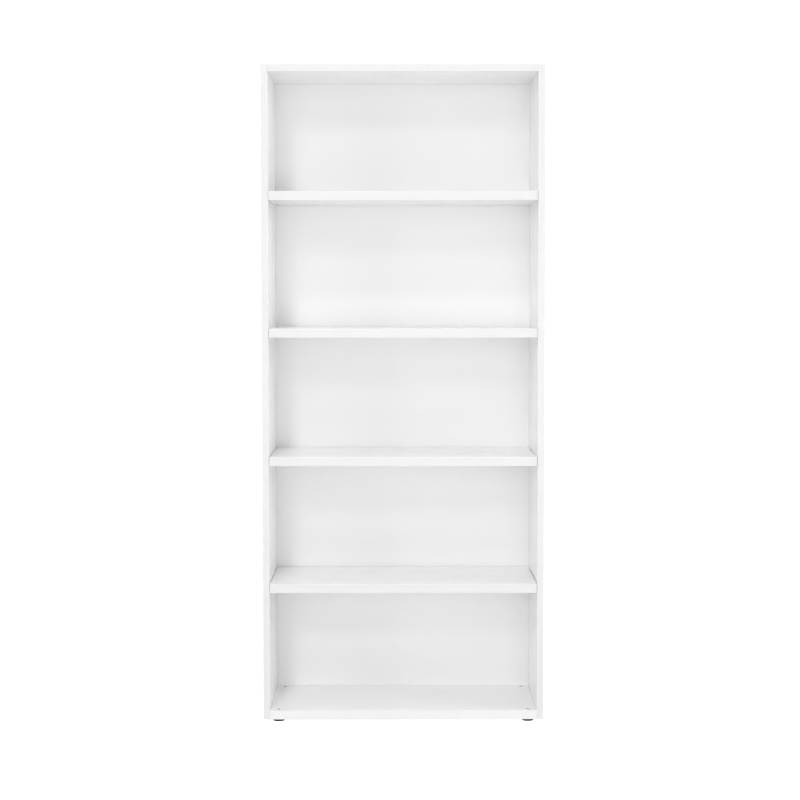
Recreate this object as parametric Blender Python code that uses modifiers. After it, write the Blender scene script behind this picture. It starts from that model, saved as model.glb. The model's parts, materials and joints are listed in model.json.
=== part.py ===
"""Tall open bookcase with adjustable shelves, for office binders.

A carcass of white boards (two sides, top, bottom and a grooved-in back) is held by
cam locks, cam bolts and dowels. Four loose shelves slide over steel pins that plug into
the sides: a stopped groove in each shelf end hides them. Four levelling feet stand under
the bottom board and are turned from above, through access holes, with a hexagon key.

Frame: metres, +Z up, X across, front face towards -Y. The origin is on the floor under
the middle of the bookcase. Left and right are as seen from the front.
"""

import math

import bmesh
import bpy
from mathutils import Matrix, Vector

# Carcass
WIDTH = 0.800
DEPTH = 0.400
CARCASS_HEIGHT = 1.856
FLOOR_GAP = 0.007
SIDE_THICK = 0.019
TOP_THICK = 0.019
BOTTOM_THICK = 0.025
BACK_THICK = 0.008
BACK_FRONT_FACE = 0.380
GROOVE_DEPTH = 0.008
EDGE_BREAK = 0.0006
GAP = 0.0003

# Shelves, numbered from the top: heights of their upper faces over the carcass underside
SHELF_TOPS = (1.5013, 1.1136, 0.7494, 0.3873)
SHELF_THICK = 0.025
SHELF_SIDE_GAP = 0.001
SHELF_SETBACK = 0.0025
SHELF_BACK_GAP = 0.0015

# Shelf pins, their holes and the grooves in the shelf ends
PIN_ROW_INSET = 0.037
PIN_RADIUS = 0.0023
PIN_IN_PANEL = 0.0090
PIN_IN_BAY = 0.0080
PIN_CHAMFER = 0.0005
PIN_HOLE_RADIUS = 0.0026
PIN_HOLE_DEPTH = 0.0095
HOLE_PITCH = 0.032
KERF_HEIGHT = 0.0054
KERF_DEPTH = 0.0185
KERF_PAST_PIN = 0.0035

# Other holes in the inner faces: hinge plates near both ends, spare holes in the rear row
HINGE_HOLES_FROM_END = (0.070, 0.102)
SPARE_HOLES = (0.166, 0.914, 1.244, 1.695)
STACKING_HOLE_X = 0.300
STACKING_HOLE_FROM_FRONT = 0.190
STACKING_HOLE_DEPTH = 0.008

# Levelling feet
FOOT_X = 0.356
FOOT_FROM_FRONT = (0.022, 0.356)
ACCESS_HOLE_RADIUS = 0.005
SOCKET_RADIUS = 0.0090
SOCKET_BORE_RADIUS = 0.0053
SOCKET_LENGTH = 0.018
SCREW_RADIUS = 0.0049
SCREW_COLLAR_RADIUS = 0.0075
SCREW_COLLAR_THICK = 0.0022
SCREW_TOP = 0.024
SCREW_BASE = 0.0018
KEY_RADIUS = 0.0029
KEY_DEPTH = 0.006
PAD_RADIUS = 0.0165
PAD_BASE_RADIUS = 0.015
PAD_BEVEL_HEIGHT = 0.002

# Carcass fittings
FITTING_FROM_FRONT = (0.090, 0.300)
CAM_FROM_SIDE = 0.034
CAM_RADIUS = 0.0075
CAM_HEIGHT = 0.013
FITTING_AXIS_DEPTH = 0.0095
BOLT_THREAD_RADIUS = 0.0023
BOLT_COLLAR_RADIUS = 0.0035
BOLT_SHANK_RADIUS = 0.0021
BOLT_HEAD_RADIUS = 0.0031
BOLT_HOLE_RADIUS = 0.0042
BOLT_IN_SIDE = 0.0090
DOWEL_RADIUS = 0.0036
DOWEL_HOLE_RADIUS = 0.0040
DOWEL_IN_SIDE = 0.010
DOWEL_IN_PANEL = 0.020

SMALL_ROUND = 10
MEDIUM_ROUND = 16
LARGE_ROUND = 24
PAST = 0.002

# Worked out from the above
HALF_WIDTH = WIDTH / 2
INNER_X = HALF_WIDTH - SIDE_THICK
FRONT_Y = -DEPTH / 2
REAR_Y = DEPTH / 2
BASE_Z = FLOOR_GAP
TOP_Z = BASE_Z + CARCASS_HEIGHT
BACK_Y = FRONT_Y + BACK_FRONT_FACE
PIN_ROWS = {"front": FRONT_Y + PIN_ROW_INSET, "rear": BACK_Y - PIN_ROW_INSET}
SIDES = {"left": -1, "right": 1}
FITTING_ROWS = {row: FRONT_Y + inset for row, inset in zip(("front", "rear"), FITTING_FROM_FRONT)}
FOOT_ROWS = {row: FRONT_Y + inset for row, inset in zip(("front", "rear"), FOOT_FROM_FRONT)}
CAM_X = INNER_X - CAM_FROM_SIDE
FITTING_LEVELS = {"top": TOP_Z - FITTING_AXIS_DEPTH, "bottom": BASE_Z + FITTING_AXIS_DEPTH}


# Scene, collections and materials


def clear_scene():
    """Empty the file of everything that a new one starts with."""
    for obj in list(bpy.data.objects):
        bpy.data.objects.remove(obj, do_unlink=True)


def new_collection(name):
    collection = bpy.data.collections.new(name)
    bpy.context.scene.collection.children.link(collection)
    return collection


def new_material(name, colour, roughness, metallic=0.0):
    material = bpy.data.materials.new(name)
    material.use_nodes = True
    shader = material.node_tree.nodes["Principled BSDF"]
    shader.inputs["Base Color"].default_value = (*colour, 1.0)
    shader.inputs["Roughness"].default_value = roughness
    shader.inputs["Metallic"].default_value = metallic
    return material


# Building blocks


def add_object(name, mesh, material, location=(0.0, 0.0, 0.0), turn=None):
    """A named piece of the bookcase."""
    obj = bpy.data.objects.new(name, mesh)
    obj.location = location
    if turn is not None:
        obj.rotation_euler = turn
    if not mesh.materials:
        mesh.materials.append(material)
    PARTS.objects.link(obj)
    return obj


def add_box(bm, low, high):
    """Add a box between two corners to a bmesh."""
    low = Vector(low)
    high = Vector(high)
    place = Matrix.Translation((low + high) / 2) @ Matrix.Diagonal((*(high - low), 1.0))
    bmesh.ops.create_cube(bm, size=1.0, matrix=place)


def add_cylinder(bm, start, end, radius, segments):
    """Add a capped cylinder between two points to a bmesh."""
    start = Vector(start)
    end = Vector(end)
    axis = end - start
    place = Matrix.Translation((start + end) / 2) @ axis.to_track_quat("Z", "Y").to_matrix().to_4x4()
    bmesh.ops.create_cone(
        bm,
        cap_ends=True,
        segments=segments,
        radius1=radius,
        radius2=radius,
        depth=axis.length,
        matrix=place,
    )


def mesh_of(name, bm):
    mesh = bpy.data.meshes.new(name)
    bm.to_mesh(mesh)
    bm.free()
    return mesh


def add_cutter(name, boxes=(), cylinders=()):
    """One hidden cutting object holding boxes and cylinders that don't touch each other."""
    bm = bmesh.new()
    for low, high in boxes:
        add_box(bm, low, high)
    for start, end, radius, segments in cylinders:
        add_cylinder(bm, start, end, radius, segments)
    cutter = bpy.data.objects.new(name, mesh_of(name, bm))
    cutter.hide_render = True
    cutter.display_type = "WIRE"
    CUTTERS.objects.link(cutter)
    return cutter


def cut(obj, cutter):
    modifier = obj.modifiers.new(cutter.name, "BOOLEAN")
    modifier.operation = "DIFFERENCE"
    modifier.solver = "EXACT"
    modifier.object = cutter


def freeze(obj, smooth):
    """Apply an object's modifiers, and shade a round piece smooth between its edges."""
    graph = bpy.context.evaluated_depsgraph_get()
    mesh = bpy.data.meshes.new_from_object(obj.evaluated_get(graph))
    obj.modifiers.clear()
    obj.data = mesh
    if smooth:
        mesh.shade_smooth()
        mesh.set_sharp_from_angle(angle=math.radians(35))
    return mesh


def board(name, low, high, material):
    """A board between two corners, its arrises lightly broken."""
    low = Vector(low)
    high = Vector(high)
    centre = (low + high) / 2
    bm = bmesh.new()
    add_box(bm, low - centre, high - centre)
    obj = add_object(name, mesh_of(name, bm), material, centre)
    bevel = obj.modifiers.new("edge_break", "BEVEL")
    bevel.width = EDGE_BREAK
    bevel.segments = 1
    return obj


def turned(name, profile, segments, material, closed=False):
    """A piece turned about its own Z axis from (radius, height) points, top to bottom."""
    mesh = bpy.data.meshes.new(name)
    points = [(radius, 0.0, height) for radius, height in profile]
    edges = [(n, n + 1) for n in range(len(points) - 1)]
    if closed:
        edges.append((len(points) - 1, 0))
    mesh.from_pydata(points, edges, [])
    obj = add_object(name, mesh, material)
    screw = obj.modifiers.new("turn", "SCREW")
    screw.steps = segments
    screw.render_steps = segments
    screw.use_merge_vertices = True
    screw.merge_threshold = 0.00001
    return obj


def chamfered_rod(radius, length, chamfer):
    """Profile of a plain rod from z = 0 to z = length, both ends chamfered."""
    return [
        (0.0, length),
        (radius - chamfer, length),
        (radius, length - chamfer),
        (radius, chamfer),
        (radius - chamfer, 0.0),
        (0.0, 0.0),
    ]


def copies(first, names_and_places, material):
    """Place the first object, then further objects that share its mesh."""
    for number, (name, location, turn) in enumerate(names_and_places):
        if number == 0:
            first.name = name
            first.location = location
            first.rotation_euler = turn
        else:
            add_object(name, first.data, material, location, turn)


# Carcass boards


def shelf_centre_z(top):
    return BASE_Z + top - SHELF_THICK / 2


def inner_face_holes():
    """(y, z) of every 5 mm hole in a side board's inner face."""
    holes = []
    for top in SHELF_TOPS:
        for step in (-1, 0, 1):
            for y in PIN_ROWS.values():
                holes.append((y, shelf_centre_z(top) + step * HOLE_PITCH))
    for inset in HINGE_HOLES_FROM_END:
        holes.append((PIN_ROWS["front"], BASE_Z + inset))
        holes.append((PIN_ROWS["front"], TOP_Z - inset))
    for height in SPARE_HOLES:
        holes.append((PIN_ROWS["rear"], BASE_Z + height))
    return holes


def side_panel(side_name, side):
    """A full-height side: pin holes, fitting holes and the groove for the back."""
    inner = side * INNER_X
    outer = side * HALF_WIDTH
    low = (min(inner, outer), FRONT_Y, BASE_Z)
    high = (max(inner, outer), REAR_Y, TOP_Z)
    panel = board(f"side_panel_{side_name}", low, high, WHITE)
    mouth = side * (INNER_X - PAST)
    pin_end = side * (INNER_X + PIN_HOLE_DEPTH)
    dowel_end = side * (INNER_X + DOWEL_IN_SIDE + GAP)
    drillings = [
        ((mouth, y, z), (pin_end, y, z), PIN_HOLE_RADIUS, SMALL_ROUND) for y, z in inner_face_holes()
    ]
    for z in FITTING_LEVELS.values():
        for y in FITTING_ROWS.values():
            drillings.append(((mouth, y, z), (pin_end, y, z), PIN_HOLE_RADIUS, SMALL_ROUND))
        drillings.append(((mouth, 0.0, z), (dowel_end, 0.0, z), DOWEL_HOLE_RADIUS, SMALL_ROUND))
    cut(panel, add_cutter(f"side_drillings_{side_name}", cylinders=drillings))
    groove_x = sorted((mouth, side * (INNER_X + GROOVE_DEPTH + GAP)))
    groove = (
        (groove_x[0], BACK_Y - GAP, BASE_Z - PAST),
        (groove_x[1], BACK_Y + BACK_THICK + GAP, TOP_Z + PAST),
    )
    cut(panel, add_cutter(f"side_groove_{side_name}", boxes=[groove]))
    freeze(panel, smooth=False)


def end_drillings(z):
    """Bolt and dowel holes in both ends of the top or bottom board."""
    drillings = []
    for side in SIDES.values():
        mouth = side * (INNER_X + PAST)
        for y in FITTING_ROWS.values():
            drillings.append(((mouth, y, z), (side * CAM_X, y, z), BOLT_HOLE_RADIUS, MEDIUM_ROUND))
        dowel_end = side * (INNER_X - DOWEL_IN_PANEL - GAP)
        drillings.append(((mouth, 0.0, z), (dowel_end, 0.0, z), DOWEL_HOLE_RADIUS, SMALL_ROUND))
    return drillings


def cam_pockets(face_z, into):
    """Pockets for the cams, bored from a board's hidden face."""
    start = face_z - into * PAST
    end = face_z + into * (CAM_HEIGHT + GAP)
    return [
        ((side * CAM_X, y, start), (side * CAM_X, y, end), CAM_RADIUS + GAP, MEDIUM_ROUND)
        for side in SIDES.values()
        for y in FITTING_ROWS.values()
    ]


def back_groove(z_low, z_high):
    low = (-HALF_WIDTH, BACK_Y - GAP, z_low)
    high = (HALF_WIDTH, BACK_Y + BACK_THICK + GAP, z_high)
    return low, high


def top_panel():
    half = INNER_X - GAP
    under = TOP_Z - TOP_THICK
    panel = board("top_panel", (-half, FRONT_Y, under), (half, REAR_Y, TOP_Z), WHITE)
    stacking_y = FRONT_Y + STACKING_HOLE_FROM_FRONT
    drillings = end_drillings(FITTING_LEVELS["top"])
    for side in SIDES.values():
        x = side * STACKING_HOLE_X
        deep = (x, stacking_y, under + STACKING_HOLE_DEPTH)
        drillings.append(((x, stacking_y, under - PAST), deep, PIN_HOLE_RADIUS, SMALL_ROUND))
    cut(panel, add_cutter("top_drillings", cylinders=drillings))
    cut(panel, add_cutter("top_cam_pockets", cylinders=cam_pockets(TOP_Z, -1)))
    groove = back_groove(under - PAST, under + GROOVE_DEPTH + GAP)
    cut(panel, add_cutter("top_groove", boxes=[groove]))
    freeze(panel, smooth=False)


def bottom_panel():
    half = INNER_X - GAP
    upper = BASE_Z + BOTTOM_THICK
    panel = board("bottom_panel", (-half, FRONT_Y, BASE_Z), (half, REAR_Y, upper), WHITE)
    cut(panel, add_cutter("bottom_drillings", cylinders=end_drillings(FITTING_LEVELS["bottom"])))
    cut(panel, add_cutter("bottom_cam_pockets", cylinders=cam_pockets(BASE_Z, 1)))
    sockets = []
    access = []
    for side in SIDES.values():
        for y in FOOT_ROWS.values():
            x = side * FOOT_X
            socket_end = (x, y, BASE_Z + SOCKET_LENGTH + GAP)
            sockets.append(((x, y, BASE_Z - PAST), socket_end, SOCKET_RADIUS + GAP, LARGE_ROUND))
            access_start = (x, y, BASE_Z + SOCKET_LENGTH - PAST)
            access.append((access_start, (x, y, upper + PAST), ACCESS_HOLE_RADIUS, LARGE_ROUND))
    cut(panel, add_cutter("socket_bores", cylinders=sockets))
    cut(panel, add_cutter("access_holes", cylinders=access))
    groove = back_groove(upper - GROOVE_DEPTH - GAP, upper + PAST)
    cut(panel, add_cutter("bottom_groove", boxes=[groove]))
    freeze(panel, smooth=False)


def back_panel():
    half = INNER_X + GROOVE_DEPTH
    low = (-half, BACK_Y, BASE_Z + BOTTOM_THICK - GROOVE_DEPTH)
    high = (half, BACK_Y + BACK_THICK, TOP_Z - TOP_THICK + GROOVE_DEPTH)
    freeze(board("back_panel", low, high, WHITE), smooth=False)


# Shelves and their pins


def shelf(number, top):
    """A loose shelf. The grooves in its ends are open to the rear and stop behind the front."""
    half = INNER_X - SHELF_SIDE_GAP
    middle = shelf_centre_z(top)
    front = FRONT_Y + SHELF_SETBACK
    rear = BACK_Y - SHELF_BACK_GAP
    low = (-half, front, middle - SHELF_THICK / 2)
    high = (half, rear, middle + SHELF_THICK / 2)
    plank = board(f"shelf_{number}", low, high, WHITE)
    kerfs = []
    for side in SIDES.values():
        across = sorted((side * (half - KERF_DEPTH), side * (half + PAST)))
        kerf_front = PIN_ROWS["front"] - KERF_PAST_PIN
        kerf_low = (across[0], kerf_front, middle - KERF_HEIGHT / 2)
        kerf_high = (across[1], rear + PAST, middle + KERF_HEIGHT / 2)
        kerfs.append((kerf_low, kerf_high))
    cut(plank, add_cutter(f"shelf_kerfs_{number}", boxes=kerfs))
    freeze(plank, smooth=False)


def shelf_pins():
    """Four steel pins a shelf. Each pin's origin is on its axis, at the side's inner face."""
    rod = chamfered_rod(PIN_RADIUS, PIN_IN_BAY + PIN_IN_PANEL, PIN_CHAMFER)
    profile = [(radius, height - PIN_IN_BAY) for radius, height in rod]
    first = turned("shelf_pin", profile, SMALL_ROUND, STEEL)
    freeze(first, smooth=True)
    places = []
    for number, top in enumerate(SHELF_TOPS, start=1):
        for row, y in PIN_ROWS.items():
            for side_name, side in SIDES.items():
                location = (side * INNER_X, y, shelf_centre_z(top))
                turn = (0.0, side * math.pi / 2, 0.0)
                places.append((f"shelf_pin_{number}_{row}_{side_name}", location, turn))
    copies(first, places, STEEL)


# Levelling feet


def foot_places(z):
    return [
        (f"{row}_{side_name}", (side * FOOT_X, y, z), (0.0, 0.0, 0.0))
        for row, y in FOOT_ROWS.items()
        for side_name, side in SIDES.items()
    ]


def named(prefix, places):
    return [(f"{prefix}_{name}", location, turn) for name, location, turn in places]


def foot_pads():
    """Plastic pads with a pocket that traps the screw's collar but lets it turn."""
    top = FLOOR_GAP - GAP
    collar_low = SCREW_BASE - GAP
    collar_high = SCREW_BASE + SCREW_COLLAR_THICK + GAP
    collar_room = SCREW_COLLAR_RADIUS + GAP
    neck_room = SCREW_RADIUS + GAP
    profile = [
        (0.0, collar_low),
        (collar_room, collar_low),
        (collar_room, collar_high),
        (neck_room, collar_high),
        (neck_room, top),
        (PAD_RADIUS - EDGE_BREAK, top),
        (PAD_RADIUS, top - EDGE_BREAK),
        (PAD_RADIUS, PAD_BEVEL_HEIGHT),
        (PAD_BASE_RADIUS, 0.0),
        (0.0, 0.0),
    ]
    first = turned("foot_pad", profile, LARGE_ROUND, DARK_PLASTIC)
    freeze(first, smooth=True)
    copies(first, named("foot_pad", foot_places(0.0)), DARK_PLASTIC)


def foot_screws():
    """Levelling screws with a collar at the foot and a hexagon socket on top."""
    chamfer = 0.0006
    collar_top = SCREW_BASE + SCREW_COLLAR_THICK
    profile = [
        (0.0, SCREW_TOP),
        (SCREW_RADIUS - chamfer, SCREW_TOP),
        (SCREW_RADIUS, SCREW_TOP - chamfer),
        (SCREW_RADIUS, collar_top),
        (SCREW_COLLAR_RADIUS, collar_top),
        (SCREW_COLLAR_RADIUS, SCREW_BASE),
        (0.0, SCREW_BASE),
    ]
    first = turned("foot_screw", profile, LARGE_ROUND, STEEL)
    key = ((0.0, 0.0, SCREW_TOP - KEY_DEPTH), (0.0, 0.0, SCREW_TOP + PAST), KEY_RADIUS, 6)
    cut(first, add_cutter("key_socket", cylinders=[key]))
    freeze(first, smooth=True)
    copies(first, named("foot_screw", foot_places(0.0)), STEEL)


def foot_sockets():
    """Threaded sleeves pressed into the underside of the bottom board."""
    chamfer = 0.0006
    profile = [
        (SOCKET_BORE_RADIUS, SOCKET_LENGTH),
        (SOCKET_RADIUS, SOCKET_LENGTH),
        (SOCKET_RADIUS, 0.0),
        (SOCKET_BORE_RADIUS + chamfer, 0.0),
        (SOCKET_BORE_RADIUS, chamfer),
    ]
    first = turned("foot_socket", profile, LARGE_ROUND, DARK_PLASTIC, closed=True)
    freeze(first, smooth=True)
    copies(first, named("foot_socket", foot_places(BASE_Z)), DARK_PLASTIC)


# Carcass fittings


def fitting_places():
    """Corner fittings: name, side, y, height of the axis, and up for the top board."""
    return [
        (f"{level}_{row}_{side_name}", side, y, z, 1 if level == "top" else -1)
        for level, z in FITTING_LEVELS.items()
        for row, y in FITTING_ROWS.items()
        for side_name, side in SIDES.items()
    ]


def cam_locks():
    """Cams whose face is flush with the board: a cross recess, and a mouth for the bolt."""
    profile = [(0.0, 0.0), (CAM_RADIUS, 0.0), (CAM_RADIUS, -CAM_HEIGHT), (0.0, -CAM_HEIGHT)]
    first = turned("cam_lock", profile, MEDIUM_ROUND, ZINC)
    mouth = (
        (0.0, 0.0, -FITTING_AXIS_DEPTH),
        (CAM_RADIUS + PAST, 0.0, -FITTING_AXIS_DEPTH),
        BOLT_HOLE_RADIUS,
        SMALL_ROUND,
    )
    cut(first, add_cutter("cam_mouth", cylinders=[mouth]))
    arm = 0.0045
    half_slot = 0.0008
    recess_floor = -0.0025
    for name, half_x, half_y in (("cam_slot_long", arm, half_slot), ("cam_slot_cross", half_slot, arm)):
        slot = ((-half_x, -half_y, recess_floor), (half_x, half_y, PAST))
        cut(first, add_cutter(name, boxes=[slot]))
    freeze(first, smooth=True)
    places = []
    for name, side, y, _, up in fitting_places():
        face_z = TOP_Z if up > 0 else BASE_Z
        tip_over = 0.0 if up > 0 else math.pi
        towards_side = 0.0 if side > 0 else math.pi
        places.append((f"cam_lock_{name}", (side * CAM_X, y, face_z), (tip_over, 0.0, towards_side)))
    copies(first, places, ZINC)


def cam_bolts():
    """Bolts screwed into the sides. Each origin is on its axis, at the side's inner face."""
    collar_thick = 0.0015
    head_thick = 0.0026
    head_end = -(CAM_FROM_SIDE - 0.0012)
    collar_end = -GAP - collar_thick
    profile = [
        (0.0, BOLT_IN_SIDE),
        (BOLT_THREAD_RADIUS - PIN_CHAMFER, BOLT_IN_SIDE),
        (BOLT_THREAD_RADIUS, BOLT_IN_SIDE - PIN_CHAMFER),
        (BOLT_THREAD_RADIUS, -GAP),
        (BOLT_COLLAR_RADIUS, -GAP),
        (BOLT_COLLAR_RADIUS, collar_end),
        (BOLT_SHANK_RADIUS, collar_end),
        (BOLT_SHANK_RADIUS, head_end + head_thick),
        (BOLT_HEAD_RADIUS, head_end + head_thick),
        (BOLT_HEAD_RADIUS, head_end + PIN_CHAMFER),
        (BOLT_HEAD_RADIUS - PIN_CHAMFER, head_end),
        (0.0, head_end),
    ]
    first = turned("cam_bolt", profile, SMALL_ROUND, STEEL)
    freeze(first, smooth=True)
    places = [
        (f"cam_bolt_{name}", (side * INNER_X, y, z), (0.0, side * math.pi / 2, 0.0))
        for name, side, y, z, _ in fitting_places()
    ]
    copies(first, places, STEEL)


def dowels():
    """Wooden dowels that locate the top and bottom boards between the sides."""
    rod = chamfered_rod(DOWEL_RADIUS, DOWEL_IN_SIDE + DOWEL_IN_PANEL, 0.001)
    profile = [(radius, height - DOWEL_IN_PANEL) for radius, height in rod]
    first = turned("dowel", profile, SMALL_ROUND, BEECH)
    freeze(first, smooth=True)
    places = [
        (f"dowel_{level}_{side_name}", (side * INNER_X, 0.0, z), (0.0, side * math.pi / 2, 0.0))
        for level, z in FITTING_LEVELS.items()
        for side_name, side in SIDES.items()
    ]
    copies(first, places, BEECH)


clear_scene()
PARTS = new_collection("bookcase")
CUTTERS = new_collection("cutters")
WHITE = new_material("white_laminate", (0.88, 0.88, 0.87), 0.45)
DARK_PLASTIC = new_material("dark_plastic", (0.03, 0.03, 0.032), 0.5)
STEEL = new_material("zinc_plated_steel", (0.62, 0.62, 0.63), 0.35, 1.0)
ZINC = new_material("cast_zinc", (0.5, 0.5, 0.52), 0.45, 1.0)
BEECH = new_material("beech", (0.62, 0.45, 0.29), 0.7)

for panel_side, panel_sign in SIDES.items():
    side_panel(panel_side, panel_sign)
top_panel()
bottom_panel()
back_panel()
for shelf_number, shelf_top in enumerate(SHELF_TOPS, start=1):
    shelf(shelf_number, shelf_top)
shelf_pins()
foot_pads()
foot_screws()
foot_sockets()
cam_locks()
cam_bolts()
dowels()
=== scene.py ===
"""Looks of the tall open bookcase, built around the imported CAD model.

Each board is made again with its glued edge bands, its drilled holes and its raw particle
board core, and each fitting with its threads, ribs and recesses. Every piece takes its place
and size from the CAD node that it stands for. Metres, +Z up, front towards -Y.
"""

import json
import math

import bmesh
import bpy
from mathutils import Matrix, Vector

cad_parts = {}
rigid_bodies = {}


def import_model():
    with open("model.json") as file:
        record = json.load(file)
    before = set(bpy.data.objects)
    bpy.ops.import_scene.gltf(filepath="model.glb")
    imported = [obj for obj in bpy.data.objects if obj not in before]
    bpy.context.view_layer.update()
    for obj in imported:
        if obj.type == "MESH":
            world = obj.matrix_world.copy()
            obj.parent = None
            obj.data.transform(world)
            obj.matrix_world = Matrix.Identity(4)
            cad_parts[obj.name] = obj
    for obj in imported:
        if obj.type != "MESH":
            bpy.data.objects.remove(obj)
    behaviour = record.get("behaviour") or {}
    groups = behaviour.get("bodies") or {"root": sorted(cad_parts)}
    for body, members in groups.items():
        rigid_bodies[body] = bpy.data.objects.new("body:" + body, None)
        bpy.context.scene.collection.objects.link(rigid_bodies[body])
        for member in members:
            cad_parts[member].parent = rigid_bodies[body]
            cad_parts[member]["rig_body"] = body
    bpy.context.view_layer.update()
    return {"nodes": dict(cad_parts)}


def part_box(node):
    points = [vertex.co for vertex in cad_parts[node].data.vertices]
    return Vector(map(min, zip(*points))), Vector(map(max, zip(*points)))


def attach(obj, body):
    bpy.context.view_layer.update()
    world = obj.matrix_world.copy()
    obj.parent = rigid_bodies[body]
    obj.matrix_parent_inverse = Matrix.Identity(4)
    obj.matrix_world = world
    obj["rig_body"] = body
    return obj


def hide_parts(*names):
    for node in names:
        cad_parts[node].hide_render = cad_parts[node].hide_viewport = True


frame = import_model()

SIDES = {"left": -1, "right": 1}
ROWS = ("front", "rear")
LEVELS = ("top", "bottom")
SHELVES = (1, 2, 3, 4)

# Directions
UP = Vector((0.0, 0.0, 1.0))
BACKWARDS = Vector((0.0, 1.0, 0.0))
UPRIGHT = (0.0, 0.0, 0.0)

# Boards. A board's materials stand in this order: face, band, raw core, outside; the outside is the face's
# melamine made darker, as painted shade
BAND_FACE = 1
CORE_FACE = 2
SHADED_OUTER_FACE = 3
BAND = 0.0010
SEAM = 0.00006
BAND_ROUND = 0.0005
PANEL_ROUND = 0.0003
TINY = 1e-6

# How far a cutter reaches past the face that it cuts
PAST = 0.002

# Holes and grooves, as in the CAD source
PIN_HOLE_RADIUS = 0.0026
PIN_HOLE_DEPTH = 0.0095
HOLE_PITCH = 0.032
HINGE_HOLES_FROM_END = (0.070, 0.102)
SPARE_HOLES = (0.166, 0.914, 1.244, 1.695)
STACKING_HOLE_X = 0.300
STACKING_HOLE_Y = -0.010
STACKING_HOLE_DEPTH = 0.008
GROOVE_DEPTH = 0.0083
GROOVE_PLAY = 0.0003
KERF_HEIGHT = 0.0054
KERF_DEPTH = 0.0185
KERF_PAST_PIN = 0.0012
ACCESS_HOLE_RADIUS = 0.005
SOCKET_PLAY = 0.0003

# Fittings
SCREW_CREST = 0.0049
SCREW_CORE = 0.0041
SCREW_PITCH = 0.0015
COLLAR_THICK = 0.0022
BOLT_CREST = 0.0023
BOLT_CORE = 0.0017
BOLT_PITCH = 0.0030
KEY_RADIUS = 0.0029
KEY_DEPTH = 0.006
CAM_MOUTH_RADIUS = 0.0042

# Meshes
ROUND = 32
SHARP_ANGLE = 35.0

# Camera
CAMERA_PLACE = (-0.025, -5.956, 1.225)
CAMERA_PITCH_DOWN = 3.043
CAMERA_TURN_RIGHT = 0.158
CAMERA_ROLL = -0.043
CAMERA_LENS = 91.7
CAMERA_REACH = 200.0
SENSOR = 36.0

# Studio. Each lamp: azimuth and elevation in degrees, distance, width, watts
LAMP_TARGET = (0.0, 0.0, 0.95)
LAMPS = {
    "key": (-10.0, 38.0, 12.0, 1.5, 190.0),
    "key_low": (-10.0, 22.0, 12.0, 1.5, 103.0),
    "far_front": (-10.0, 9.0, 12.0, 1.5, 34.0),
    "low_front": (0.0, -8.0, 6.0, 3.0, 105.0),
    "high_front": (0.0, 40.0, 6.0, 3.0, 31.0),
    "steep_front": (0.0, 78.0, 6.0, 1.5, 41.0),
    "front_left": (-45.0, 5.0, 12.0, 2.0, 81.0),
    "side_left": (-65.0, 12.0, 6.0, 3.0, 21.0),
    "side_right": (65.0, 12.0, 6.0, 3.0, 95.0),
    "behind_left": (-130.0, 48.0, 7.0, 4.0, 110.0),
    "behind_right": (150.0, 40.0, 7.0, 4.0, 95.0),
}
ROOM_LIGHT = 0.390
ROOM_WHITE = 1.05
FLOOR_WHITE = 0.93
FLOOR_REACH = 40.0


# Meshes


def add_box(bm, low, high, material_index=0):
    """Add a box between two corners to a bmesh, and return its faces."""
    low = Vector(low)
    high = Vector(high)
    place = Matrix.Translation((low + high) / 2) @ Matrix.Diagonal((*(high - low), 1.0))
    made = bmesh.ops.create_cube(bm, size=1.0, matrix=place)
    faces = {face for vert in made["verts"] for face in vert.link_faces}
    for face in faces:
        face.material_index = material_index
    return faces


def add_rod(bm, start, end, radius, segments=ROUND):
    """Add a capped cylinder between two points to a bmesh."""
    start = Vector(start)
    end = Vector(end)
    axis = end - start
    place = Matrix.Translation((start + end) / 2) @ axis.to_track_quat("Z", "Y").to_matrix().to_4x4()
    bmesh.ops.create_cone(
        bm,
        cap_ends=True,
        segments=segments,
        radius1=radius,
        radius2=radius,
        depth=axis.length,
        matrix=place,
    )


def mesh_of(name, bm):
    mesh = bpy.data.meshes.new(name)
    bmesh.ops.recalc_face_normals(bm, faces=bm.faces)
    bm.to_mesh(mesh)
    bm.free()
    return mesh


def add_object(name, mesh):
    obj = bpy.data.objects.new(name, mesh)
    bpy.context.scene.collection.objects.link(obj)
    return obj


def lathe(name, rings, segments, radius_at=None, closed=False):
    """A mesh turned about Z from (radius, height) rings, whose radii radius_at can bend."""
    bm = bmesh.new()
    loops = []
    for radius, height in rings:
        loop = []
        for step in range(segments if radius else 1):
            angle = math.tau * step / segments
            bent = radius_at(radius, height, angle) if radius_at else radius
            loop.append(bm.verts.new((bent * math.cos(angle), bent * math.sin(angle), height)))
        loops.append(loop)
    following = loops[1:] + (loops[:1] if closed else [])
    for loop, after in zip(loops, following):
        for step in range(segments):
            ahead = (step + 1) % segments
            corners = (loop[step % len(loop)], loop[ahead % len(loop)])
            corners += (after[ahead % len(after)], after[step % len(after)])
            bm.faces.new(dict.fromkeys(corners))
    return mesh_of(name, bm)


def subtract(obj, cutters):
    """Cut several closed meshes from an object, and apply the cuts. The cutters' objects are removed."""
    helpers = []
    for number, mesh in enumerate(cutters):
        helper = add_object(f"{obj.name}_cutter_{number}", mesh)
        modifier = obj.modifiers.new("cut", "BOOLEAN")
        modifier.operation = "DIFFERENCE"
        modifier.solver = "EXACT"
        modifier.material_mode = "TRANSFER"
        modifier.object = helper
        helpers.append(helper)
    graph = bpy.context.evaluated_depsgraph_get()
    mesh = bpy.data.meshes.new_from_object(obj.evaluated_get(graph))
    obj.modifiers.clear()
    obj.data = mesh
    for helper in helpers:
        bpy.data.objects.remove(helper)


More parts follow.
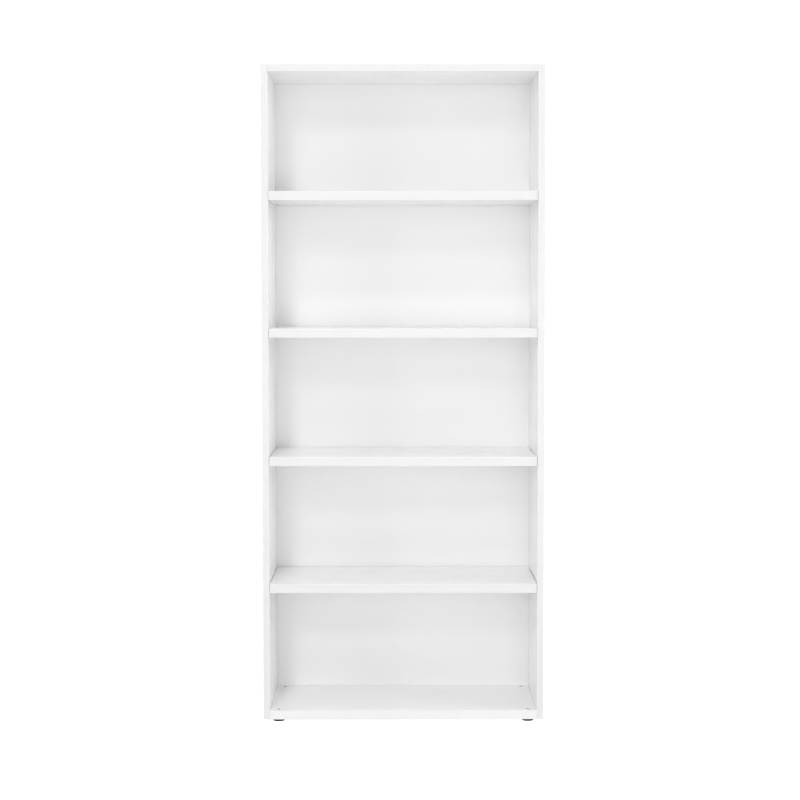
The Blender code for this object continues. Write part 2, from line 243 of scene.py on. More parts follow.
def shade(mesh):
    """Smooth shading between sharp edges. Flat faces square to an axis stay flat."""
    mesh.shade_smooth()
    mesh.set_sharp_from_angle(angle=math.radians(SHARP_ANGLE))
    for polygon in mesh.polygons:
        if max(abs(part) for part in polygon.normal) > 1.0 - 1e-5:
            polygon.use_smooth = False


def finish_piece(obj, node):
    """Attach a piece to the body of its CAD node, and hide that node."""
    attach(obj, frame["nodes"][node]["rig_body"])
    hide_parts(node)


# Materials


class Tree:
    """Short calls for building one material out of nodes."""

    def __init__(self, name):
        self.material = bpy.data.materials.new(name)
        self.material.use_nodes = True
        self.nodes = self.material.node_tree.nodes
        self.shader = self.nodes["Principled BSDF"]

    def join(self, value, socket):
        """Link a socket, or set a plain value."""
        if isinstance(value, bpy.types.NodeSocket):
            self.material.node_tree.links.new(value, socket)
        else:
            socket.default_value = value

    def place(self):
        return self.nodes.new("ShaderNodeTexCoord").outputs["Object"]

    def stretch(self, vector, scale):
        node = self.nodes.new("ShaderNodeMapping")
        self.join(vector, node.inputs["Vector"])
        node.inputs["Scale"].default_value = scale
        return node.outputs["Vector"]

    def noise(self, vector, scale, detail=2.0, roughness=0.5, distortion=0.0):
        node = self.nodes.new("ShaderNodeTexNoise")
        self.join(vector, node.inputs["Vector"])
        node.inputs["Scale"].default_value = scale
        node.inputs["Detail"].default_value = detail
        node.inputs["Roughness"].default_value = roughness
        node.inputs["Distortion"].default_value = distortion
        return node.outputs["Fac"]

    def cells(self, vector, scale, output="Distance"):
        node = self.nodes.new("ShaderNodeTexVoronoi")
        self.join(vector, node.inputs["Vector"])
        node.inputs["Scale"].default_value = scale
        return node.outputs[output]

    def map(self, value, low, high, to_low=0.0, to_high=1.0, smooth=False):
        node = self.nodes.new("ShaderNodeMapRange")
        node.interpolation_type = "SMOOTHSTEP" if smooth else "LINEAR"
        for number, part in enumerate((value, low, high, to_low, to_high)):
            self.join(part, node.inputs[number])
        return node.outputs["Result"]

    def math(self, operation, first, second):
        node = self.nodes.new("ShaderNodeMath")
        node.operation = operation
        self.join(first, node.inputs[0])
        self.join(second, node.inputs[1])
        return node.outputs["Value"]

    def vector_math(self, operation, first, second=(0.0, 0.0, 0.0)):
        node = self.nodes.new("ShaderNodeVectorMath")
        node.operation = operation
        self.join(first, node.inputs[0])
        self.join(second, node.inputs[1])
        return node.outputs["Vector"]

    def mix(self, share, first, second):
        node = self.nodes.new("ShaderNodeMix")
        node.data_type = "RGBA"
        self.join(share, node.inputs[0])
        self.join(first, node.inputs[6])
        self.join(second, node.inputs[7])
        return node.outputs[2]

    def property(self, name):
        """A vector kept on the object itself."""
        node = self.nodes.new("ShaderNodeAttribute")
        node.attribute_type = "OBJECT"
        node.attribute_name = name
        return node.outputs["Vector"]

    def bump(self, height, distance, under=None):
        node = self.nodes.new("ShaderNodeBump")
        self.join(height, node.inputs["Height"])
        node.inputs["Distance"].default_value = distance
        if under is not None:
            self.join(under, node.inputs["Normal"])
        return node.outputs["Normal"]

    def surface(self, colour, roughness, normal=None, metallic=0.0, specular=0.5):
        self.join(colour, self.shader.inputs["Base Color"])
        self.join(roughness, self.shader.inputs["Roughness"])
        if normal is not None:
            self.join(normal, self.shader.inputs["Normal"])
        self.shader.inputs["Metallic"].default_value = metallic
        self.shader.inputs["Specular IOR Level"].default_value = specular
        return self.material


def colour(red, green, blue):
    return (red, green, blue, 1.0)


def grey(level):
    return colour(level, level, level)


def edge_distance(tree, place):
    """How far a point on a board's surface is from the board's nearest edge, from the board's own box."""
    inward = tree.vector_math("ABSOLUTE", tree.vector_math("SUBTRACT", place, tree.property("board_centre")))
    left = tree.vector_math("SUBTRACT", tree.property("board_half"), inward)
    split = tree.nodes.new("ShaderNodeSeparateXYZ")
    tree.join(left, split.inputs["Vector"])
    x, y, z = split.outputs
    lesser = tree.math("MINIMUM", x, y)
    greater = tree.math("MAXIMUM", x, y)
    return tree.math("MAXIMUM", lesser, tree.math("MINIMUM", greater, z))


def worn_edges(tree, place, reach, patch_scale):
    """0 on the open surface, up to 1 in patches along the edges."""
    near = tree.map(edge_distance(tree, place), 0.0, reach, 1.0, 0.0, smooth=True)
    patches = tree.map(tree.noise(place, patch_scale, detail=4.0), 0.45, 0.70, smooth=True)
    return tree.math("MULTIPLY", near, patches)


def laminate(name, white, pearl_depth, roughness_low, roughness_high):
    """White melamine: a fine pearl relief, faint clouds, wiped smudges and slightly rubbed edges."""
    tree = Tree(name)
    place = tree.place()
    clouds = tree.map(tree.noise(place, 2.5, detail=3.0), 0.3, 0.7)
    shaded = tree.mix(clouds, grey(white * 0.985), grey(white))
    wiped = tree.stretch(place, (9.0, 9.0, 4.0))
    smudges = tree.noise(wiped, 1.6, detail=5.0, roughness=0.62, distortion=0.7)
    wear = worn_edges(tree, place, 0.0030, 70.0)
    rubbed = tree.mix(tree.math("MULTIPLY", wear, 0.35), shaded, colour(0.70, 0.68, 0.64))
    matt = tree.map(smudges, 0.30, 0.72, roughness_low, roughness_high)
    polished = tree.math("SUBTRACT", matt, tree.math("MULTIPLY", wear, 0.10))
    pearl = tree.noise(place, 1100.0, detail=2.0, roughness=0.55)
    ripple = tree.noise(place, 60.0, detail=2.0)
    normal = tree.bump(pearl, pearl_depth, under=tree.bump(ripple, 0.00001))
    return tree.surface(rubbed, polished, normal)


def edge_band(name, white):
    """Plastic edge band: a finer relief than the board's, faint waves and rubbed edges."""
    tree = Tree(name)
    place = tree.place()
    clouds = tree.map(tree.noise(place, 6.0, detail=2.0), 0.3, 0.7)
    shaded = tree.mix(clouds, grey(white * 0.975), grey(white))
    wear = worn_edges(tree, place, 0.0022, 90.0)
    rubbed = tree.mix(tree.math("MULTIPLY", wear, 0.40), shaded, colour(0.66, 0.64, 0.60))
    matt = tree.map(tree.noise(place, 35.0, detail=4.0), 0.3, 0.7, 0.36, 0.46)
    fine = tree.noise(place, 1700.0, detail=1.0)
    ripple = tree.noise(place, 45.0, detail=1.0)
    return tree.surface(rubbed, matt, tree.bump(fine, 0.00002, under=tree.bump(ripple, 0.00003)))


def particle_board():
    """The raw core that shows inside holes, grooves and pockets."""
    tree = Tree("particle_board")
    place = tree.place()
    warped = tree.stretch(place, (1.0, 1.0, 1.6))
    chips = tree.cells(warped, 650.0, "Color")
    tone = tree.math("MULTIPLY", tree.noise(chips, 3.0, detail=1.0), tree.noise(place, 900.0, detail=3.0))
    dark = colour(0.20, 0.13, 0.075)
    wood = tree.mix(tree.map(tone, 0.12, 0.42), dark, colour(0.60, 0.45, 0.29))
    relief = tree.cells(warped, 650.0)
    rough = tree.map(tree.noise(place, 500.0), 0.3, 0.7, 0.78, 0.95)
    return tree.surface(wood, rough, tree.bump(relief, 0.0004), specular=0.3)


def plated_steel():
    """Bright zinc plating: a bluish silver with faint yellow tints and fine scratches."""
    tree = Tree("plated_steel")
    place = tree.place()
    tints = tree.map(tree.noise(place, 260.0, detail=3.0, distortion=0.8), 0.35, 0.7)
    silver = tree.mix(tints, colour(0.60, 0.62, 0.66), colour(0.72, 0.70, 0.62))
    scratches = tree.noise(tree.stretch(place, (1.0, 1.0, 0.12)), 2600.0, detail=3.0)
    rough = tree.map(tree.noise(place, 420.0, detail=4.0), 0.3, 0.7, 0.22, 0.42)
    return tree.surface(silver, rough, tree.bump(scratches, 0.00002), metallic=1.0)


def cast_zinc():
    """Raw die casting: dull grey, finely pitted, brighter where it is rubbed."""
    tree = Tree("cast_zinc")
    place = tree.place()
    clouds = tree.map(tree.noise(place, 240.0, detail=5.0), 0.35, 0.68)
    metal = tree.mix(clouds, colour(0.40, 0.40, 0.42), colour(0.62, 0.62, 0.63))
    pits = tree.cells(place, 1500.0)
    rough = tree.map(tree.noise(place, 500.0, detail=3.0), 0.3, 0.7, 0.38, 0.62)
    return tree.surface(metal, rough, tree.bump(pits, 0.00006), metallic=1.0)


def dark_plastic():
    """Moulded dark plastic with a fine spark-eroded grain, greyed where it is scuffed."""
    tree = Tree("dark_plastic")
    place = tree.place()
    scuffs = tree.map(tree.noise(place, 300.0, detail=5.0, roughness=0.65), 0.52, 0.75)
    body = tree.mix(scuffs, colour(0.022, 0.022, 0.024), colour(0.070, 0.070, 0.074))
    grain = tree.noise(place, 3200.0, detail=2.0)
    rough = tree.map(tree.noise(place, 350.0, detail=2.0), 0.3, 0.7, 0.42, 0.60)
    return tree.surface(body, rough, tree.bump(grain, 0.00005))


def beech():
    """Beech with its grain along the dowel, flecked with short dark rays."""
    tree = Tree("beech")
    place = tree.place()
    along = tree.stretch(place, (1.0, 1.0, 0.06))
    grain = tree.map(tree.noise(along, 900.0, detail=4.0, distortion=0.5), 0.3, 0.7)
    wood = tree.mix(grain, colour(0.50, 0.33, 0.19), colour(0.71, 0.53, 0.35))
    flecks = tree.map(tree.noise(tree.stretch(place, (1.0, 1.0, 0.25)), 2400.0), 0.62, 0.72)
    flecked = tree.mix(tree.math("MULTIPLY", flecks, 0.5), wood, colour(0.33, 0.19, 0.10))
    rough = tree.map(grain, 0.0, 1.0, 0.60, 0.78)
    return tree.surface(flecked, rough, tree.bump(grain, 0.00008))


# Boards


def banded_board(name, node, banded, outside, materials, cutters=()):
    """A board with its cut-outs, and edge bands on the named faces, such as "-y".

    outside is the direction of the face that lies outside the bookcase, or None; that face gets the darker
    outside copy of the melamine, which is painted shade.
    """
    low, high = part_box(node)
    centre = (low + high) / 2
    half = (high - low) / 2
    bm = bmesh.new()
    rest_low = low.copy()
    rest_high = high.copy()
    for label in banded:
        axis = "xyz".index(label[1])
        strip_low = rest_low.copy()
        strip_high = rest_high.copy()
        if label[0] == "-":
            outer = rest_low[axis]
            strip_high[axis] = outer + BAND
            rest_low[axis] = outer + BAND + SEAM
        else:
            outer = rest_high[axis]
            strip_low[axis] = outer - BAND
            rest_high[axis] = outer - BAND - SEAM
        strip = add_box(bm, strip_low, strip_high, BAND_FACE)
        round_off(bm, [face for face in strip if abs(face.calc_center_median()[axis] - outer) < TINY])
    thin = min(range(3), key=lambda part: half[part])
    # Cut sides take the raw core; the face that lies outside takes the darker copy of the melamine, painted
    # shade
    for face in add_box(bm, rest_low, rest_high):
        if abs(face.normal[thin]) < 0.5:
            face.material_index = CORE_FACE
        elif outside is not None and face.normal.dot(outside) > 0.5:
            face.material_index = SHADED_OUTER_FACE
    obj = add_object(name, mesh_of(name, bm))
    for material in materials:
        obj.data.materials.append(material)
    obj["board_centre"] = centre
    obj["board_half"] = half
    if cutters:
        for mesh in cutters:
            mesh.materials.append(RAW_CORE)
        subtract(obj, cutters)
    shade(obj.data)
    finish_piece(obj, node)
    return obj


def round_off(bm, faces):
    """Round the edges of an edge band's outer face."""
    edges = list({edge for face in faces for edge in face.edges})
    bmesh.ops.bevel(bm, geom=edges, offset=BAND_ROUND, segments=3, profile=0.5, affect="EDGES")


def rods(name, places, radius, segments=ROUND):
    """One cutter mesh of several rods that don't touch."""
    bm = bmesh.new()
    for start, end in places:
        add_rod(bm, start, end, radius, segments)
    return mesh_of(name, bm)


def blocks(name, corners):
    """One cutter mesh of several blocks that don't touch."""
    bm = bmesh.new()
    for low, high in corners:
        add_box(bm, low, high)
    return mesh_of(name, bm)


def middle(node):
    low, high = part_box(node)
    return (low + high) / 2


def side_panel(side_name, side):
    node = f"side_panel_{side_name}"
    low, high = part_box(node)
    inner = low.x if side > 0 else high.x
    holes = []
    for number in SHELVES:
        for row in ROWS:
            pin = middle(f"shelf_pin_{number}_{row}_{side_name}")
            for step in (-1, 0, 1):
                holes.append((pin.y, pin.z + step * HOLE_PITCH))
    front_row = middle(f"shelf_pin_1_front_{side_name}").y
    rear_row = middle(f"shelf_pin_1_rear_{side_name}").y
    for inset in HINGE_HOLES_FROM_END:
        holes.append((front_row, low.z + inset))
        holes.append((front_row, high.z - inset))
    for height in SPARE_HOLES:
        holes.append((rear_row, low.z + height))
    mouth = inner - side * PAST
    deep = inner + side * PIN_HOLE_DEPTH
    drillings = rods(f"{node}_holes", [((mouth, y, z), (deep, y, z)) for y, z in holes], PIN_HOLE_RADIUS)
    back_low, back_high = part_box("back_panel")
    across = sorted((mouth, inner + side * GROOVE_DEPTH))
    groove_low = (across[0], back_low.y - GROOVE_PLAY, low.z - PAST)
    groove_high = (across[1], back_high.y + GROOVE_PLAY, high.z + PAST)
    groove = blocks(f"{node}_groove", [(groove_low, groove_high)])
    bands = ("-y", "+y", "+z", "-z")
    outside = Vector((side, 0.0, 0.0))
    banded_board(f"{node}_board", node, bands, outside, BOARD, (drillings, groove))


def groove_for_back(node, face_z, into):
    """The groove in the top or bottom board, which takes the edge of the back panel."""
    low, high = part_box(node)
    back_low, back_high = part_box("back_panel")
    levels = sorted((face_z - into * PAST, face_z + into * GROOVE_DEPTH))
    groove_low = (low.x - PAST, back_low.y - GROOVE_PLAY, levels[0])
    groove_high = (high.x + PAST, back_high.y + GROOVE_PLAY, levels[1])
    return blocks(f"{node}_groove", [(groove_low, groove_high)])


def cam_pockets(level, face_z, into):
    """Round pockets that the cams of the top or bottom board sit in."""
    places = []
    for row in ROWS:
        for side_name in SIDES:
            low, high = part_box(f"cam_lock_{level}_{row}_{side_name}")
            cam = (low + high) / 2
            bottom = face_z + into * (high.z - low.z + SOCKET_PLAY)
            places.append(((cam.x, cam.y, face_z - into * PAST), (cam.x, cam.y, bottom)))
    return rods(f"{level}_pockets", places, (high.x - low.x) / 2 + SOCKET_PLAY)


def top_panel():
    node = "top_panel"
    low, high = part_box(node)
    holes = []
    for side in SIDES.values():
        x = side * STACKING_HOLE_X
        holes.append(((x, STACKING_HOLE_Y, low.z - PAST), (x, STACKING_HOLE_Y, low.z + STACKING_HOLE_DEPTH)))
    cutters = (
        rods("stacking_holes", holes, PIN_HOLE_RADIUS),
        cam_pockets("top", high.z, -1),
        groove_for_back(node, low.z, 1),
    )
    banded_board("top_board", node, ("-y", "+y"), UP, BOARD, cutters)


def bottom_panel():
    node = "bottom_panel"
    low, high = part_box(node)
    sockets = []
    access = []
    for row in ROWS:
        for side_name in SIDES:
            socket_low, socket_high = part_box(f"foot_socket_{row}_{side_name}")
            place = (socket_low + socket_high) / 2
            shoulder = socket_high.z + SOCKET_PLAY
            sockets.append(((place.x, place.y, low.z - PAST), (place.x, place.y, shoulder)))
            access.append(((place.x, place.y, shoulder - PAST), (place.x, place.y, high.z + PAST)))
    socket_radius = (socket_high.x - socket_low.x) / 2 + SOCKET_PLAY
    cutters = (
        rods("socket_bores", sockets, socket_radius),
        rods("access_holes", access, ACCESS_HOLE_RADIUS),
        cam_pockets("bottom", low.z, 1),
        groove_for_back(node, high.z, -1),
    )
    # The bottom board takes the lighter band, which is painted light, and the darker outside, which is
    # painted shade
    banded_board("bottom_board", node, ("-y", "+y"), -UP, BASE_BOARD, cutters)


def back_panel():
    obj = banded_board("back_board", "back_panel", (), BACKWARDS, BACK_BOARD)
    bevel = obj.modifiers.new("round", "BEVEL")
    bevel.width = PANEL_ROUND
    bevel.segments = 2


def shelf(number):
    node = f"shelf_{number}"
    low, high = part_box(node)
    middle_z = (low.z + high.z) / 2
    kerfs = []
    for side_name, side in SIDES.items():
        pin_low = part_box(f"shelf_pin_{number}_front_{side_name}")[0]
        end = high.x if side > 0 else low.x
        across = sorted((end - side * KERF_DEPTH, end + side * PAST))
        kerf_low = (across[0], pin_low.y - KERF_PAST_PIN, middle_z - KERF_HEIGHT / 2)
        kerf_high = (across[1], high.y + PAST, middle_z + KERF_HEIGHT / 2)
        kerfs.append((kerf_low, kerf_high))
    bands = ("-y", "+y", "-x", "+x")
    cutters = (blocks(f"{node}_kerfs", kerfs),)
    banded_board(f"{node}_board", node, bands, None, BOARD, cutters)


# Fittings


def pieces_from(mesh, material, places):
    """Place one mesh for each (name, node, location, turn)."""
    mesh.materials.append(material)
    for name, node, location, turn in places:
        obj = add_object(name, mesh)
        obj.location = location
        obj.rotation_euler = turn
        finish_piece(obj, node)


def corners(prefix):
    return [(f"{prefix}_{row}_{name}", name) for row in ROWS for name in SIDES]


def standing(prefix, suffix):
    """Name, node, place and turn of upright fittings, which stand on the bottom of their boxes."""
    places = []
    for node, _ in corners(prefix):
        low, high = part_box(node)
        place = (low + high) / 2
        places.append((f"{node}_{suffix}", node, (place.x, place.y, low.z), UPRIGHT))
    return places


def pointing_out(node, suffix, side):
    """Name, node, place and turn of a fitting made along +Z that points out through one side."""
    low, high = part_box(node)
    place = (low + high) / 2
    place.x = low.x if side > 0 else high.x
    return (f"{node}_{suffix}", node, place, (0.0, side * math.pi / 2, 0.0))


def thread(core, crest, pitch, low, high, run_out):
    """radius_at for a helical thread between two heights, fading out over its last turn."""

    def radius_at(radius, height, angle):
        if not low <= height <= high or radius < core:
            return radius
        turn = (height / pitch - angle / math.tau) % 1.0
        ridge = 1.0 - abs(2.0 * turn - 1.0)
        fade = min(1.0, (height - low) / run_out, (high - height) / run_out)
        return core + (crest - core) * ridge * max(0.0, fade)

    return radius_at


def rings_between(radius, start, end, count):
    return [(radius, start + (end - start) * step / count) for step in range(count + 1)]


def shelf_pins():
    """Steel pins with rounded ends and three pressed rings on the half that sits in the side."""
    low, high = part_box("shelf_pin_1_front_left")
    length = high.x - low.x
    radius = (high.z - low.z) / 2
    nose = 0.0007
    nose_steps = 4
    ring_heights = (0.0145, 0.0125, 0.0105)
    ring_depth = 0.00012
    ring_half = 0.0004
    rings = [(0.0, length)]
    for step in range(1, nose_steps + 1):
        turn = math.pi / 2 * step / nose_steps
        rings.append((radius - nose + nose * math.sin(turn), length - nose + nose * math.cos(turn)))
    for height in ring_heights:
        rings += [(radius, height + ring_half), (radius - ring_depth, height + ring_half / 2)]
        rings += [(radius - ring_depth, height - ring_half / 2), (radius, height - ring_half)]
    for step in range(nose_steps + 1):
        turn = math.pi / 2 * step / nose_steps
        rings.append((radius - nose + nose * math.cos(turn), nose - nose * math.sin(turn)))
    rings.append((0.0, 0.0))
    mesh = lathe("shelf_pin", rings, 24)
    shade(mesh)
    places = []
    for number in SHELVES:
        for node, side_name in corners(f"shelf_pin_{number}"):
            places.append(pointing_out(node, "rod", SIDES[side_name]))
    pieces_from(mesh, STEEL, places)


def foot_pads():
    """Dark glide with a fluted rim, a dished underside, and room inside for the screw's collar."""
    low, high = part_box("foot_pad_front_left")
    radius = (high.x - low.x) / 2
    height = high.z - low.z
    screw_low, screw_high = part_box("foot_screw_front_left")
    room = (screw_high.x - screw_low.x) / 2 + SOCKET_PLAY
    room_low = screw_low.z - low.z - SOCKET_PLAY
    room_high = room_low + COLLAR_THICK + 2 * SOCKET_PLAY
    neck = SCREW_CREST + SOCKET_PLAY
    edge = 0.0004
    lip_high = 0.0020
    base = radius - 0.0015
    dish = radius * 0.6
    dish_depth = 0.0005
    flutes = 24
    flute_depth = 0.0005

    def fluted(radius_here, height_here, angle):
        if radius_here < radius - edge or height_here > height - edge:
            return radius_here
        return radius_here - flute_depth * max(0.0, math.cos(flutes * angle)) ** 2

    rings = [
        (0.0, room_low),
        (room, room_low),
        (room, room_high),
        (neck, room_high),
        (neck, height - edge),
        (neck + edge, height),
        (radius - 3 * edge, height),
        (radius - edge, height - edge / 3),
        (radius, height - 2 * edge),
        (radius, lip_high + 2 * edge),
        (radius, lip_high),
        (base + edge, edge),
        (base, edge / 3),
        (base - edge, 0.0),
        (dish, 0.0),
        (dish - dish_depth, dish_depth),
        (0.0, dish_depth),
    ]
    mesh = lathe("foot_pad", rings, flutes * 6, fluted)
    shade(mesh)
    pieces_from(mesh, PLASTIC, standing("foot_pad", "glide"))


def foot_screws():
    """Levelling screws: a metric thread, a collar at the foot and a hexagon socket on top."""
    low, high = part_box("foot_screw_front_left")
    collar = (high.x - low.x) / 2
    length = high.z - low.z
    edge = 0.0003
    chamfer = 0.0006
    chamfer_height = 0.0005
    threaded_from = COLLAR_THICK + 0.0008
    threaded_to = length - chamfer
    rings = [(0.0, length), (SCREW_CORE - chamfer, length), (SCREW_CORE, length - chamfer_height)]
    rings += rings_between(SCREW_CORE, threaded_to, threaded_from, 96)
    rings += [
        (SCREW_CORE, COLLAR_THICK),
        (collar - edge, COLLAR_THICK),
        (collar, COLLAR_THICK - edge),
        (collar, edge),
        (collar - edge, 0.0),
        (0.0, 0.0),
    ]
    ridge = thread(SCREW_CORE, SCREW_CREST, SCREW_PITCH, threaded_from, threaded_to, SCREW_PITCH)
    socket = ((0.0, 0.0, length - KEY_DEPTH), (0.0, 0.0, length + PAST))
    blank = add_object("foot_screw_blank", lathe("foot_screw", rings, ROUND, ridge))
    subtract(blank, (rods("key_socket", [socket], KEY_RADIUS, 6),))
    mesh = blank.data
    bpy.data.objects.remove(blank)
    shade(mesh)
    pieces_from(mesh, STEEL, standing("foot_screw", "thread"))


def foot_sockets():
    """Sleeves with barbed ribs outside and turned grooves inside for the thread."""
    low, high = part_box("foot_socket_front_left")
    radius = (high.x - low.x) / 2
    length = high.z - low.z
    bore = 0.0053
    mouth = 0.0006
    edge = 0.0003
    rim = 0.0022
    plain_end = 0.0010
    barb = 0.0016
    barb_depth = 0.0007
    groove_depth = 0.0004
    rings = [(bore + mouth, 0.0), (radius - edge, 0.0), (radius, edge), (radius, rim)]
    height = rim
    while height + barb < length - plain_end:
        rings.append((radius - barb_depth, height))
        rings += [(radius, height + barb * 0.8), (radius, height + barb * 0.9)]
        height += barb
    rings += [(radius - barb_depth, height), (radius - barb_depth, length), (bore, length)]
    height = length - plain_end
    while height > 2 * plain_end:
        rings.append((bore, height))
        rings += [(bore + groove_depth, height - groove_depth), (bore, height - 2 * groove_depth)]
        height -= SCREW_PITCH
    rings.append((bore, mouth))
    mesh = lathe("foot_socket", rings, ROUND, closed=True)
    shade(mesh)
    pieces_from(mesh, PLASTIC, standing("foot_socket", "sleeve"))


def pointer_cutter(tip, length, half_width, depth):
    """A shallow three-sided cutter that marks a cam's open side on its face."""
    bm = bmesh.new()
    marks = [(tip, 0.0), (tip - length, half_width), (tip - length, -half_width)]
    lower = [bm.verts.new((x, y, -depth)) for x, y in marks]
    upper = [bm.verts.new((x, y, PAST)) for x, y in marks]
    bm.faces.new(lower[::-1])
    bm.faces.new(upper)
    for step in range(len(marks)):
        ahead = (step + 1) % len(marks)
        bm.faces.new((lower[step], lower[ahead], upper[ahead], upper[step]))
    return mesh_of("pointer", bm)


def cam_locks():
    """Die-cast cams: chamfered face, cross recess, pointer mark, and a mouth for the bolt head."""
    low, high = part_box("cam_lock_top_front_right")
    radius = (high.x - low.x) / 2
    height = high.z - low.z
    bolt_axis = high.z - middle("cam_bolt_top_front_right").z
    edge = 0.0005
    rim = 0.0016
    rim_end = 0.0020
    foot_chamfer = 0.0006
    arm = 0.0045
    half_slot = 0.0008
    slot_depth = 0.0025
    rings = [
        (0.0, 0.0),
        (radius - edge, 0.0),
        (radius, -edge),
        (radius, -rim),
        (radius - edge, -rim_end),
        (radius - edge, -height + foot_chamfer),
        (radius - 2 * edge, -height),
        (0.0, -height),
    ]
    mouth = ((0.0, 0.0, -bolt_axis), (radius + PAST, 0.0, -bolt_axis))
    cutters = (
        rods("cam_mouth", [mouth], CAM_MOUTH_RADIUS),
        blocks("slot_long", [((-arm, -half_slot, -slot_depth), (arm, half_slot, PAST))]),
        blocks("slot_cross", [((-half_slot, -arm, -slot_depth), (half_slot, arm, PAST))]),
        pointer_cutter(radius - 0.0009, 0.0012, 0.0008, 0.0004),
    )
    blank = add_object("cam_blank", lathe("cam_lock", rings, 48))
    subtract(blank, cutters)
    mesh = blank.data
    bpy.data.objects.remove(blank)
    shade(mesh)
    places = []
    for level in LEVELS:
        for node, side_name in corners(f"cam_lock_{level}"):
            cam_low, cam_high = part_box(node)
            place = middle(node)
            place.z = cam_high.z if level == "top" else cam_low.z
            flip = 0.0 if level == "top" else math.pi
            swing = 0.0 if SIDES[side_name] > 0 else math.pi
            places.append((f"{node}_casting", node, place, (flip, 0.0, swing)))
    pieces_from(mesh, ZINC, places)


def cam_bolts():
    """Cam bolts: coarse thread, collar, slim shank and a rounded head."""
    low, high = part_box("cam_bolt_top_front_right")
    length = high.x - low.x
    start = length - 0.0090
    chamfer = 0.0006
    threaded_from = start + 0.0002
    threaded_to = length - 0.0007
    collar = 0.0035
    collar_edge = 0.0002
    collar_high = start - 0.0003
    collar_low = start - 0.0018
    shank = 0.0021
    fillet = 0.0003
    head = 0.0031
    head_thick = 0.0026
    head_steps = 8
    rings = [(0.0, length), (BOLT_CORE - chamfer, length), (BOLT_CORE, length - chamfer)]
    rings += rings_between(BOLT_CORE, threaded_to, threaded_from, 48)
    rings += [
        (BOLT_CORE, collar_high),
        (collar - collar_edge, collar_high),
        (collar, collar_high - collar_edge),
        (collar, collar_low + collar_edge),
        (collar - collar_edge, collar_low),
        (shank, collar_low - fillet),
        (shank, head_thick + 0.0010),
        (shank + fillet, head_thick),
    ]
    for step in range(1, head_steps):
        turn = math.pi * step / head_steps
        rings.append((head * math.sin(turn) ** 0.5, head_thick / 2 * (1 + math.cos(turn))))
    rings.append((0.0, 0.0))
    ridge = thread(BOLT_CORE, BOLT_CREST, BOLT_PITCH, threaded_from, threaded_to, BOLT_PITCH / 2)
    mesh = lathe("cam_bolt", rings, 24, ridge)
    shade(mesh)
    places = []
    for level in LEVELS:
        for node, side_name in corners(f"cam_bolt_{level}"):
            places.append(pointing_out(node, "thread", SIDES[side_name]))
    pieces_from(mesh, STEEL, places)


def dowels():
    """Fluted beech dowels with chamfered ends."""
    low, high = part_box("dowel_top_right")
    length = high.x - low.x
    radius = (high.z - low.z) / 2
    flutes = 12
    flute_depth = 0.00035
    chamfer = 0.0012

    def fluted(radius_here, _height, angle):
        return radius_here - flute_depth * (0.5 - 0.5 * math.cos(flutes * angle)) ** 2

    rings = [(0.0, length), (radius - chamfer, length), (radius, length - chamfer)]
    rings += rings_between(radius, length - chamfer * 2, chamfer * 2, 6)
    rings += [(radius, chamfer), (radius - chamfer, 0.0), (0.0, 0.0)]
    mesh = lathe("dowel", rings, flutes * 6, fluted)
    shade(mesh)
    places = []
    for level in LEVELS:
        for side_name, side in SIDES.items():
            places.append(pointing_out(f"dowel_{level}_{side_name}", "peg", side))
    pieces_from(mesh, WOOD, places)


# Surroundings


def camera():
    data = bpy.data.cameras.new("camera")
    data.lens = CAMERA_LENS
    data.sensor_width = SENSOR
    data.clip_end = CAMERA_REACH
    obj = bpy.data.objects.new("camera", data)
    turn = Matrix.Rotation(math.radians(-CAMERA_TURN_RIGHT), 4, "Z")
    tilt = Matrix.Rotation(math.radians(90.0 - CAMERA_PITCH_DOWN), 4, "X")
    roll = Matrix.Rotation(math.radians(CAMERA_ROLL), 4, "Z")
    obj.matrix_world = Matrix.Translation(CAMERA_PLACE) @ turn @ tilt @ roll
    bpy.context.scene.collection.objects.link(obj)
    bpy.context.scene.camera = obj


def soft_light(name, azimuth, elevation, distance, width, power):
    """A round lamp that faces the bookcase. Azimuth runs from the front towards the right."""
    turn = math.radians(azimuth)
    rise = math.radians(elevation)
    ahead = distance * math.cos(rise)
    offset = Vector((ahead * math.sin(turn), -ahead * math.cos(turn), distance * math.sin(rise)))
    data = bpy.data.lights.new(name, "AREA")
    data.shape = "DISK"
    data.size = width
    data.energy = power
    obj = bpy.data.objects.new(name, data)
    obj.location = Vector(LAMP_TARGET) + offset
    obj.rotation_euler = (-offset).to_track_quat("-Z", "Y").to_euler()
    bpy.context.scene.collection.objects.link(obj)


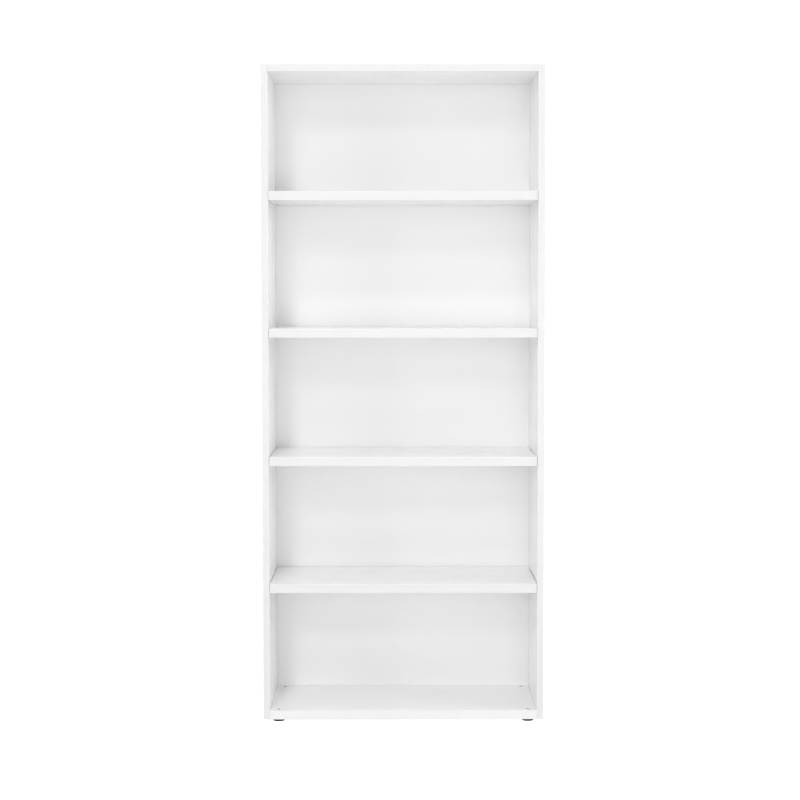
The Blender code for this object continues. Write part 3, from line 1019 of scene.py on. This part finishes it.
def studio():
    """A white room with faint light from all round, and lamps in front, at the sides and behind."""
    world = bpy.data.worlds.new("studio")
    world.use_nodes = True
    nodes = world.node_tree.nodes
    links = world.node_tree.links
    path = nodes.new("ShaderNodeLightPath")
    strength = nodes.new("ShaderNodeMapRange")
    strength.inputs["To Min"].default_value = ROOM_LIGHT
    strength.inputs["To Max"].default_value = ROOM_WHITE
    links.new(path.outputs["Is Camera Ray"], strength.inputs["Value"])
    links.new(strength.outputs["Result"], nodes["Background"].inputs["Strength"])
    nodes["Background"].inputs["Color"].default_value = grey(1.0)
    bpy.context.scene.world = world
    bpy.context.scene.view_settings.view_transform = "Standard"
    for name, (azimuth, elevation, distance, width, power) in LAMPS.items():
        soft_light(name, azimuth, elevation, distance, width, power)


def floor():
    """A plain white floor. What the camera sees of it is lifted, so that it meets the room unseen."""
    bm = bmesh.new()
    bmesh.ops.create_grid(bm, x_segments=1, y_segments=1, size=FLOOR_REACH)
    obj = add_object("floor", mesh_of("floor", bm))
    tree = Tree("floor_white")
    speckle = tree.noise(tree.place(), 12.0, detail=3.0)
    tree.surface(tree.mix(speckle, grey(0.88), grey(0.90)), 0.8, specular=0.2)
    seen = tree.nodes.new("ShaderNodeLightPath").outputs["Is Camera Ray"]
    glow = tree.math("MULTIPLY", seen, FLOOR_WHITE)
    tree.shader.inputs["Emission Color"].default_value = grey(1.0)
    tree.join(glow, tree.shader.inputs["Emission Strength"])
    obj.data.materials.append(tree.material)


camera()
studio()
floor()

MELAMINE = laminate("white_melamine", 0.960, 0.00002, 0.21, 0.25)
# The outside is the same melamine at a lower white: painted shade that tones down the lamps on the outer
# faces
OUTSIDE_PAINTED_SHADE = laminate("white_outside_painted_shade", 0.800, 0.00003, 0.30, 0.40)
BACK_WHITE = laminate("white_back", 0.960, 0.00002, 0.48, 0.62)
BAND_WHITE = edge_band("edge_band", 0.720)
# The bottom board's edge band is a lighter copy of the band material: painted light on the base's front edge
BASE_BAND_PAINTED_LIGHT = edge_band("base_edge_band_painted_light", 0.800)
RAW_CORE = particle_board()
BOARD = (MELAMINE, BAND_WHITE, RAW_CORE, OUTSIDE_PAINTED_SHADE)
BASE_BOARD = (MELAMINE, BASE_BAND_PAINTED_LIGHT, RAW_CORE, OUTSIDE_PAINTED_SHADE)
BACK_BOARD = (BACK_WHITE, BAND_WHITE, RAW_CORE, OUTSIDE_PAINTED_SHADE)
STEEL = plated_steel()
ZINC = cast_zinc()
PLASTIC = dark_plastic()
WOOD = beech()

for panel_side, panel_sign in SIDES.items():
    side_panel(panel_side, panel_sign)
top_panel()
bottom_panel()
back_panel()
for shelf_number in SHELVES:
    shelf(shelf_number)
shelf_pins()
foot_pads()
foot_screws()
foot_sockets()
cam_locks()
cam_bolts()
dowels()
